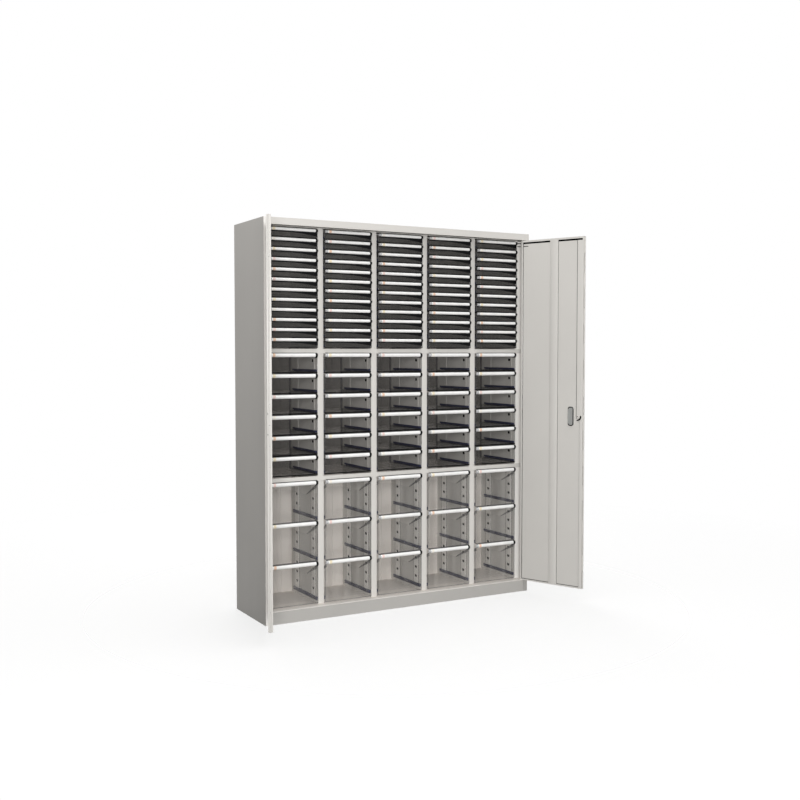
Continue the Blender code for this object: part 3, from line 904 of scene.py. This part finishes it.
def tray_floor(shape, middle, base, half, front):
    section = [(-TRAY_HALF, 0.0)]
    for share in RIB_PLACES:
        section += [(share * half + x, z) for x, z in RIB_SHAPE]
    section.append((TRAY_HALF, 0.0))
    for (xa, za), (xb, zb) in zip(section, section[1:]):
        xa, za, xb, zb = middle + xa, base + za, middle + xb, base + zb
        back = TRAY_BACK_Y
        sheet(shape, [(xa, front, za), (xb, front, zb), (xb, back, zb), (xa, back, za)], BASE)


def tray_walls(shape, middle, base, half, front, kind, bar_low):
    """Two walls with a thicker band along their slope, and the back."""
    rim = base + SIDE_HEIGHT[kind]
    slope = (front + SIDE_SLOPE[kind], rim)
    nose = (front, bar_low + SLOPE_LAP)
    side = [(front, base), (TRAY_BACK_Y, base), (TRAY_BACK_Y, rim), slope, nose]
    width = EDGE_BAND[kind]
    band = [slope, nose, (front, nose[1] - width), (slope[0] - width / 2, rim)]
    for hand in (-1, 1):
        wall = middle + hand * half
        sheet(shape, [(wall, y, z) for y, z in side], SHELL)
        sweep(shape, band, "X", wall - EDGE_HALF, wall + EDGE_HALF, EDGE)
    sheet(shape, upright(middle - half, middle + half, TRAY_BACK_Y, base, rim), BASE)


def bar_shadow(shape, middle, top, front):
    """A black piece under the bar, a painted shadow, whose lower edge dips towards the right."""
    half = TRAY_HALF - FRONT_EDGE
    edge = []
    for share in (i / 10 for i in range(11)):
        dip = max(0.0, (share - BAR_SHADOW_BEND) / (1 - BAR_SHADOW_BEND)) ** 2
        edge.append((middle - half + 2 * half * share, top - BAR_SHADOW_LEFT - BAR_SHADOW_DIP * dip))
    outline = edge + [(middle + half, top), (middle - half, top)]
    sweep(shape, outline, "Y", *(front + y for y in BAR_SHADOW_DEPTH), SHADE_BLACK)


def tray_front(shape, middle, floor, front, kind, bar_low, bar_top):
    left, right = middle - TRAY_HALF, middle + TRAY_HALF
    foot = floor + TRAY_GAP
    if abs(floor - bank_floor["tall"]) < TRAY_GAP:
        foot = sill_top + SKIRT_CLEAR
    sheet(shape, upright(left, right, front, foot, bar_top), SHELL)
    # Painted shadow: a black piece under each thin tray's bar.
    if kind == "thin":
        bar_shadow(shape, middle, bar_low, front)
    y0, y1 = (front + y for y in EDGE_DEPTH)
    for x0, x1 in ((left, left + FRONT_EDGE), (right - FRONT_EDGE, right)):
        box(shape, (x0, y0, foot), (x1, y1, bar_low), EDGE)
    # Painted shade: on thin and medium trays a black strip along the foot, for the gap above the
    # bar below.
    step = floor + TRAY_RIDE if kind == "medium" else foot + FRONT_EDGE
    box(shape, (left, y0, foot), (right, y1, step), EDGE if kind == "tall" else SHADE_BLACK)


def tray_shell(shape, middle, floor, kind, front):
    """One tray without its bar. Returns the height of the bar's top."""
    half = TRAY_HALF - WALL_INSET
    base = floor + TRAY_RIDE
    bar_top = floor + bank_pitch[kind] - TRAY_GAP
    bar_low = bar_top - BAR_HEIGHT[kind]
    tray_floor(shape, middle, base, half, front)
    tray_walls(shape, middle, base, half, front, kind, bar_low)
    tray_front(shape, middle, floor, front, kind, bar_low, bar_top)
    return bar_top


print("tray width:", round(2 * TRAY_HALF, 4))

# %% [markdown]
# ## Grip bar
# Along the top of each front runs a rounded white bar, with a grey cap and a small colour tag
# at the left and a black rounded end at the right, which paints the shade of the gap there. It
# is lofted through rings along its length: each ring is the same rounded profile, scaled, and
# says which material follows it.

# %% Helper for the grip bar
BAR_DEPTH = 12.0 * MM
BAR_INSET = 3 * MM
BAR_LAND = 2 * MM
BAR_TURNS = range(90, 271, 20)
CAP_WIDTH = 8 * MM
TAG_START = 16 * MM
TAG_WIDTH = 12 * MM
END_SHADE_WIDTH = 10 * MM
END_SHADE_PIVOT = 0.6
GAP_SHADE_LAP = 0.3 * MM
GAP_SHADE_INSET = 2 * MM
GAP_SHADE_BACK = 1 * MM


def bar_stations(x0, x1):
    """Where the rings stand, their scale, and the material that follows each one."""
    cap = x0 + CAP_WIDTH
    tag = x0 + TAG_START
    stop = x1 - END_SHADE_WIDTH
    # The black rings beside the cap and at the right end paint the shade of the gaps at the bar's
    # ends.
    return [
        (x0, 0.7, CAP), (x0 + 1.5 * MM, 0.9, CAP), (cap, 0.9, SHADE_BLACK), (cap + 1.2 * MM, 0.9, BAR),
        (cap + 1.8 * MM, 1.0, BAR), (tag, 1.0, TAG), (tag + TAG_WIDTH, 1.0, BAR),
        (stop - 0.6 * MM, 1.0, SHADE_BLACK), (stop, 1.3, SHADE_BLACK), (x1 - 2 * MM, 1.3, SHADE_BLACK), (x1, 1.0, SHADE_BLACK),
    ]


def grip_bar(shape, middle, nose, top, height, gap_shade, tag_slot):
    """A rounded strip with a dark strip along its top, which paints the shade in the gap to the
    next tray.
    """
    radius = height / 2
    back = nose + BAR_DEPTH
    x0 = middle - TRAY_HALF + BAR_INSET
    x1 = middle + TRAY_HALF - BAR_INSET
    reach = min(radius, BAR_DEPTH - BAR_LAND)
    profile = [(nose + reach + reach * math.cos(math.radians(turn)),
                top - radius + radius * math.sin(math.radians(turn))) for turn in BAR_TURNS]
    profile += [(back, top - height), (back, top)]
    stations = bar_stations(x0, x1)
    rings = []
    for x, scale, _ in stations:
        pivot = top - radius * (END_SHADE_PIVOT if scale > 1 else 1.0)
        rings.append([shape.verts.new((x, y, pivot + (z - pivot) * scale)) for y, z in profile])
    for k, i, face in loft(shape, rings):
        slot = stations[k][2]
        if slot in (BAR, TAG) and not 1 <= i < len(BAR_TURNS) - 2:
            slot = LIP
        face.material_index = tag_slot if slot == TAG else slot
    shape.faces.new(rings[0][::-1]).material_index = CAP
    shape.faces.new(rings[-1]).material_index = SHADE_BLACK
    # Painted shade: a black strip along the bar's top, for the gap to the next tray.
    low = (x0 + GAP_SHADE_INSET, nose + reach, top - GAP_SHADE_LAP)
    box(shape, low, (x1 - GAP_SHADE_INSET, back + GAP_SHADE_BACK, top + gap_shade), SHADE_BLACK)


print("bar depth:", BAR_DEPTH)

# %% [markdown]
# ## Filling the columns
# The first column has a node for every tray, the others one for every bank. The trays of a
# node move together, so they share one mesh. The tags' colours follow a small rule that looks
# mixed, so every run makes the same cabinet.

# %% Fill the columns
GAP_SHADE_RISE = by_kind(2.0, 2.0, 0.4)


def pick_tag(kind, column, row):
    mix = {"thin": 3 * column + 2 * row + row // 3, "medium": column + 3 * row + 1,
           "tall": column + row}[kind]
    return TAG + mix % len(tags)


def add_tray(node, kind, column, count, low):
    shape = bmesh.new()
    middle = column_x[column]
    for i in range(count):
        level = low.z - TRAY_GAP + i * bank_pitch[kind]
        top = tray_shell(shape, middle, level, kind, low.y + BAR_DEPTH)
        row = round((level - bank_floor[kind]) / bank_pitch[kind])
        tag_slot = pick_tag(kind, column, row)
        grip_bar(shape, middle, low.y, top, BAR_HEIGHT[kind], GAP_SHADE_RISE[kind], tag_slot)
    finish = [tray_plastic[kind], tray_base[kind], bar_white, black_parts_and_shade, cap_grey,
              tray_edge, bar_lip, *tags]
    add_piece(f"{node}_moulding", shape, finish, node, [node])


for node, kind, column, count, (low, _) in trays:
    add_tray(node, kind, column, count, low)
print("tray pieces:", len(trays))

# %% [markdown]
# ## Folded sheet of a door leaf
# Each side has a folding pair. A leaf is one sheet folded into a shallow pan, with a hem by
# its pin and a wide lip along its free edge. It is swept as two halves, in lengths, so that
# it can be notched, or opened for the lock, without a boolean. The leaves are modelled shut:
# s runs from the pin along the leaf, w from its outside inwards.

# %% Helpers for the folded sheet
LEAF_THICK = 9.5 * MM
LEAF_SKIN = 1.2 * MM
LEAF_ROUND = 1.6 * MM
LEAF_LIP = 31 * MM
LEAF_HEM = 9 * MM
LOW_LIP = 15 * MM
LIP_NOTCH = 5 * MM
SLOT_TOP = 9.0 * MM
SLOT_LOW = 17 * MM
leaf_low, leaf_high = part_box("right_fold_leaf")
LEAF_FOOT = leaf_low.z
LEAF_TOP = leaf_high.z


def across(hand, points):
    """Turns distances from the pin into x, to the left or to the right."""
    return [(hand * s, w) for s, w in points]


def half_plan(edge, way, fold, outer, stop):
    """Plan of half the sheet, from the fold along an edge to a stop in the skin."""
    inner = outer + LEAF_THICK
    r, t = LEAF_ROUND, LEAF_SKIN
    bend = arc((r, inner - r), r, 90, 180, 3) + arc((r, outer + r), r, 180, 270, 3)
    start = [(fold, inner), *bend]
    finish = [(t, outer + t), (t, inner - t), (fold, inner - t)]
    start, finish = ([(edge + way * s, w) for s, w in part] for part in (start, finish))
    return start + [(stop, outer), (stop, outer + t)] + finish


def leaf_sheet(shape, hand, start, end, outer, hole=None, step=None):
    """The sheet in lengths. A lock may pass through, and below a step the lip is narrower."""
    middle = (start + end) / 2
    notch = (LEAF_TOP - SLOT_LOW, LEAF_TOP - SLOT_TOP)
    whole = (middle, middle)
    lengths = [(LEAF_FOOT, notch[0], whole, LEAF_LIP)]
    if hole:
        gap, (z0, z1) = hole
        lengths = [(LEAF_FOOT, z0, whole, LOW_LIP), (z0, step, gap, LOW_LIP),
                   (step, z1, gap, LEAF_LIP), (z1, notch[0], whole, LEAF_LIP)]
    lengths += [(*notch, whole, LIP_NOTCH), (notch[1], LEAF_TOP, whole, LEAF_LIP)]
    for low, high, (stop, resume), lip in lengths:
        pin_side = half_plan(start, 1, LEAF_HEM, outer, stop)
        lip_side = half_plan(end, -1, lip, outer, resume)
        for plan in (pin_side, lip_side):
            sweep(shape, across(hand, plan), "Z", low, high)


print("leaf height:", round(LEAF_TOP - LEAF_FOOT, 4))

# %% [markdown]
# ## Lining, stiffener and knuckles
# A thinner inner sheet is sunk a few millimetres below the lip, in two parts beside a
# hat-shaped stiffener, and stops short of the top, which leaves a slot. A dark sheet behind
# shows in that slot and in the gaps around the lining, as painted shade. Rolled knuckles along
# the fold take turns on the two leaves.

# %% Helpers for what a leaf carries
PANEL_SUNK = 3.6 * MM
PANEL_THICK = 1.0 * MM
CAP_SINK = 0.2 * MM
LIP_SINK = 0.1 * MM
LIP_GAP = 4.5 * MM
LOW_GAP = 3.0 * MM
HEM_GAP = 2.2 * MM
FOOT_LIP = 7.0 * MM
FOOT_GAP = 2.2 * MM
HAT_HALF = 22.5 * MM
HAT_GAP = 2.0 * MM
HAT_SINK = 0.3 * MM
HAT_LAP = 0.5 * MM
HAT_FLANK = 1.4 * MM
HAT_EASE = 0.4 * MM
HAT_CROWN = 2.2 * MM
DARK_SHEET = (0.1 * MM, 0.5 * MM)
KNUCKLE_RADIUS = 3.0 * MM
KNUCKLE_LENGTH = 81 * MM
KNUCKLE_GAP = 3.0 * MM
KNUCKLE_PAIRS = 10
STRAP_SHEET = (0.3 * MM, 1.8 * MM)
STRAP_INSET = 3 * MM


def plate(shape, hand, s_range, w_range, z_range, slot=0):
    x0, x1 = sorted(hand * s for s in s_range)
    box(shape, (x0, w_range[0], z_range[0]), (x1, w_range[1], z_range[1]), slot)


def leaf_lining(shape, hand, start, end, outer, hat, step=None):
    t = LEAF_SKIN
    inner = outer + LEAF_THICK
    inside = (start + t, end - t)
    depth = (outer + t, inner - CAP_SINK)
    plate(shape, hand, inside, depth, (LEAF_FOOT, LEAF_FOOT + t))
    plate(shape, hand, inside, depth, (LEAF_TOP - t, LEAF_TOP))
    face = (inner - t, inner - LIP_SINK)
    plate(shape, hand, (start + t, end - LEAF_LIP), face, (LEAF_TOP - SLOT_TOP, LEAF_TOP - t))
    plate(shape, hand, (start + t, end - LOW_LIP), face, (LEAF_FOOT + t, LEAF_FOOT + FOOT_LIP))
    sunk = (inner - PANEL_SUNK - PANEL_THICK, inner - PANEL_SUNK)
    foot = LEAF_FOOT + FOOT_LIP + FOOT_GAP
    top = LEAF_TOP - SLOT_LOW
    plate(shape, hand, (start + LEAF_HEM + HEM_GAP, hat - HAT_HALF), sunk, (foot, top))
    right = hat + HAT_HALF + HAT_GAP
    if step:
        plate(shape, hand, (right, end - LOW_LIP - LOW_GAP), sunk, (foot, step))
        foot = step
    plate(shape, hand, (right, end - LEAF_LIP - LIP_GAP), sunk, (foot, top))
    # Painted shade: a dark sheet behind the lining, seen through its gaps and the top slot.
    dark = tuple(outer + t + w for w in DARK_SHEET)
    plate(shape, hand, inside, dark, (LEAF_FOOT + t, LEAF_TOP - t), 1)


def leaf_knuckles(shape, hand, axis, edge, outer, upper):
    pitch = (LEAF_TOP - LEAF_FOOT) / KNUCKLE_PAIRS
    strap = tuple(outer + w for w in STRAP_SHEET)
    for i in range(KNUCKLE_PAIRS):
        z0 = LEAF_FOOT + (i + 0.5) * pitch + KNUCKLE_GAP / 2
        if not upper:
            z0 -= KNUCKLE_LENGTH + KNUCKLE_GAP
        z1 = z0 + KNUCKLE_LENGTH
        sweep(shape, circle((hand * axis[0], axis[1]), KNUCKLE_RADIUS, 24), "Z", z0, z1)
        plate(shape, hand, (axis[0], edge), strap, (z0 + STRAP_INSET, z1 - STRAP_INSET))


def leaf_hat(shape, hand, centre, outer):
    top = outer + LEAF_THICK - HAT_SINK
    foot = outer + LEAF_THICK - PANEL_SUNK - HAT_LAP
    a, b = centre - HAT_HALF, centre + HAT_HALF
    outline = [(a, foot), (b, foot), (b - HAT_FLANK, top - HAT_EASE), (b - HAT_CROWN, top),
               (a + HAT_CROWN, top), (a + HAT_FLANK, top - HAT_EASE)]
    sweep(shape, across(hand, outline), "Z", LEAF_FOOT + LEAF_SKIN, LEAF_TOP - LEAF_SKIN)


print("knuckles on a leaf:", KNUCKLE_PAIRS)

# %% [markdown]
# ## Folding doors
# The first leaf swings on a pin at the edge of the opening, and the second, on a pin at the end
# of the first, lies folded flat behind it. Shut leaves are simple to draw, so they are turned
# to their place only at the end, about the same pins as the joints.

# %% Build the folding doors
DOOR_OPEN = math.radians(112)
FOLDED = math.pi
HINGE_START = -6.0 * MM
HINGE_END = 339 * MM
HINGE_OUTER = -LEAF_THICK / 2
FOLD_AXIS = 342.5 * MM
FOLD_START = 3.5 * MM
FOLD_END = 326 * MM
FOLD_OUTER = 0.5 * MM
FOLD_HAT = (FOLD_START + FOLD_END) / 2
HINGE_HAT = HINGE_START + 0.535 * (HINGE_END - HINGE_START)
LOCK_Z = 887 * MM
LIP_STEP = 10 * MM
CUP_S = HINGE_END - 63 * MM
CUP_HALF = 15.5 * MM
CUP_TALL = 46 * MM
PIVOT_REACH = 38 * MM
PIVOT_LINE = (LEAF_TOP - 30 * MM, LEAF_TOP - 26.5 * MM)
PIVOT_SHEET = (-0.1 * MM, 0.3 * MM)
SCREW_LEVELS = (0.862, 0.946)
SCREW_RADIUS = 1.8 * MM
SCREW_RISE = 0.3 * MM
SCREW_W = FOLD_OUTER + 6.5 * MM
leaf_finish = [door_paint, dark_void]


def door_place(side):
    """Where a shut door's own axes go when it stands open."""
    pin = joint_place["right_door_swing" if side > 0 else "left_door_swing"]
    return Matrix.Translation((pin.x, pin.y, 0)) @ Matrix.Rotation(side * DOOR_OPEN, 4, "Z")


def fold_place(side):
    shift = Matrix.Translation((-side * FOLD_AXIS, HINGE_OUTER - FOLD_OUTER, 0))
    return door_place(side) @ shift @ Matrix.Rotation(side * FOLDED, 4, "Z")


def add_hinge_leaf(name, side, hole=None, step=None):
    """The first leaf with its stiffener and the dark line of the pivot's bracket."""
    hand = -side
    shape = bmesh.new()
    leaf_sheet(shape, hand, HINGE_START, HINGE_END, HINGE_OUTER, hole, step)
    leaf_lining(shape, hand, HINGE_START, HINGE_END, HINGE_OUTER, HINGE_HAT, step)
    sunk = HINGE_OUTER + LEAF_THICK - PANEL_SUNK
    bracket = (HINGE_START + LEAF_HEM + HEM_GAP, HINGE_START + PIVOT_REACH)
    plate(shape, hand, bracket, [sunk + w for w in PIVOT_SHEET], PIVOT_LINE, 1)
    axis = (FOLD_AXIS, HINGE_OUTER - FOLD_OUTER)
    leaf_knuckles(shape, hand, axis, HINGE_END, HINGE_OUTER, True)
    add_piece(f"{name}_hinge_leaf_sheet", shape, leaf_finish, f"{name}_door",
              [f"{name}_hinge_leaf"], place=door_place(side))
    shape = bmesh.new()
    leaf_hat(shape, hand, HINGE_HAT, HINGE_OUTER)
    add_piece(f"{name}_leaf_hat", shape, [door_paint], f"{name}_door",
              [f"{name}_leaf_stiffener"], place=door_place(side))


def add_fold_leaf(name, side, screws=()):
    hand = -side
    shape = bmesh.new()
    leaf_sheet(shape, hand, FOLD_START, FOLD_END, FOLD_OUTER)
    leaf_lining(shape, hand, FOLD_START, FOLD_END, FOLD_OUTER, FOLD_HAT)
    leaf_knuckles(shape, hand, (0.0, 0.0), FOLD_START, FOLD_OUTER, False)
    leaf_hat(shape, hand, FOLD_HAT, FOLD_OUTER)
    edge = sorted((hand * FOLD_START, hand * (FOLD_START - SCREW_RISE)))
    for z in screws:
        sweep(shape, circle((SCREW_W, z), SCREW_RADIUS, 12), "X", *edge, 1)
    add_piece(f"{name}_fold_leaf_sheet", shape, leaf_finish, f"{name}_fold",
              [f"{name}_fold_leaf"], place=fold_place(side))


lock_hole = ((CUP_S - CUP_HALF, CUP_S + CUP_HALF), (LOCK_Z - CUP_TALL, LOCK_Z + CUP_TALL))
add_hinge_leaf("left", -1)
add_fold_leaf("left", -1, SCREW_LEVELS)
add_hinge_leaf("right", 1, lock_hole, LOCK_Z - LIP_STEP)
add_fold_leaf("right", 1)
print("door opening angle:", round(math.degrees(DOOR_OPEN)))

# %% [markdown]
# ## Lock cup
# The right leaf has a recessed pull. From inside its back shows as a grey rounded box with a
# dark rim at its ends. A bevelled cube would have no hollow, so the cup is lofted from rounded
# rings, each with its own inset and depth.

# %% Build the lock cup
LOCK_SIDE = 1
LOCK_HAND = -LOCK_SIDE
CUP_ROUND = 11 * MM
CUP_BACK = HINGE_OUTER + 11.5 * MM
CUP_FLOOR = CUP_BACK - 2.6 * MM
CUP_RINGS = (  # inset, depth, and the material up to the next ring
    (3.4 * MM, CUP_FLOOR, 0), (2.0 * MM, CUP_FLOOR - 1.6 * MM, 0), (1.2 * MM, HINGE_OUTER, 0),
    (0.1 * MM, HINGE_OUTER, 0), (0.1 * MM, CUP_BACK - 1.2 * MM, 1), (1.2 * MM, CUP_BACK, 1),
    (3.6 * MM, CUP_BACK, 1), (4.4 * MM, CUP_BACK - 1.0 * MM, 0),
)


def cup_ring(shape, inset, w):
    half = CUP_HALF - inset
    tall = CUP_TALL - inset
    r = CUP_ROUND - inset
    points = []
    for sx, sz, start in ((1, 1, 0), (-1, 1, 90), (-1, -1, 180), (1, -1, 270)):
        points += arc((sx * (half - r), sz * (tall - r)), r, start, start + 90, 6)
    return [shape.verts.new((LOCK_HAND * (CUP_S + a), w, LOCK_Z + b)) for a, b in points]


def add_lock_cup():
    shape = bmesh.new()
    rings = [cup_ring(shape, inset, w) for inset, w, _ in CUP_RINGS]
    for k, i, face in loft(shape, rings):
        far = abs(rings[k][i].co.z - LOCK_Z) > CUP_TALL - CUP_ROUND
        face.material_index = CUP_RINGS[k][2] if far else 0
    shape.faces.new(rings[0])
    shape.faces.new(rings[-1])
    add_piece("lock_cup_moulding", shape, [lock_grey, black_parts_and_shade], "right_door",
              ["lock_cup"], place=door_place(LOCK_SIDE))


add_lock_cup()
print("lock height:", LOCK_Z)

# %% [markdown]
# ## Hook
# The hook is a crescent of dark steel with a painted hub, and turns with its spindle. A small
# outline, swept through the plate's thickness and bevelled, is all it takes.

# %% Build the hook
HOOK_S = HINGE_END - 25.5 * MM
HOOK_RADIUS = 21 * MM
HOOK_BAND = 7 * MM
HOOK_HUB = 5.5 * MM
HOOK_TIP = 2
ARM_HALF = 1.6 * MM
HOOK_THICK = 2.5 * MM
HOOK_FACE = LEAF_THICK / 2 + 0.3 * MM
SPINDLE_RADIUS = 2.8 * MM


def crescent():
    outer = arc((0, 0), HOOK_RADIUS, -90, HOOK_TIP, 18)
    tip_turn = math.radians(HOOK_TIP)
    half = HOOK_BAND / 2
    mid = HOOK_RADIUS - half
    end = arc((mid * math.cos(tip_turn), mid * math.sin(tip_turn)), half, 20, 160, 6)
    inner = arc((0, 0), HOOK_RADIUS - HOOK_BAND, HOOK_TIP, -72, 14)
    return [(-half, -HOOK_RADIUS), *outer, *end, *inner, (-half, half - HOOK_RADIUS)]


def add_hook():
    shape = bmesh.new()
    low = -HOOK_RADIUS + HOOK_BAND
    arm = [(-ARM_HALF, low), (ARM_HALF, low), (ARM_HALF, 0), (-ARM_HALF, 0)]
    back = HOOK_FACE + HOOK_THICK
    for outline, y0, y1, slot in (
        (across(LOCK_HAND, crescent()), HOOK_FACE, back, 0),
        (across(LOCK_HAND, arm), HOOK_FACE + 0.3 * MM, HOOK_FACE + 1.6 * MM, 1),
        (circle((0, 0), HOOK_HUB, 24), HOOK_FACE + 0.2 * MM, back + 0.3 * MM, 1),
        (circle((0, 0), SPINDLE_RADIUS, 24), HINGE_OUTER, back + 0.4 * MM, 0),
    ):
        sweep(shape, outline, "Y", y0, y1, slot)
    place = door_place(LOCK_SIDE) @ Matrix.Translation((LOCK_HAND * HOOK_S, 0, LOCK_Z))
    return add_piece("latch_hook_plate", shape, [hook_steel, door_paint], "latch",
                     ["latch_hook"], bevel=0.3 * MM, place=place)


hook = add_hook()
print("hook faces:", len(hook.data.polygons))
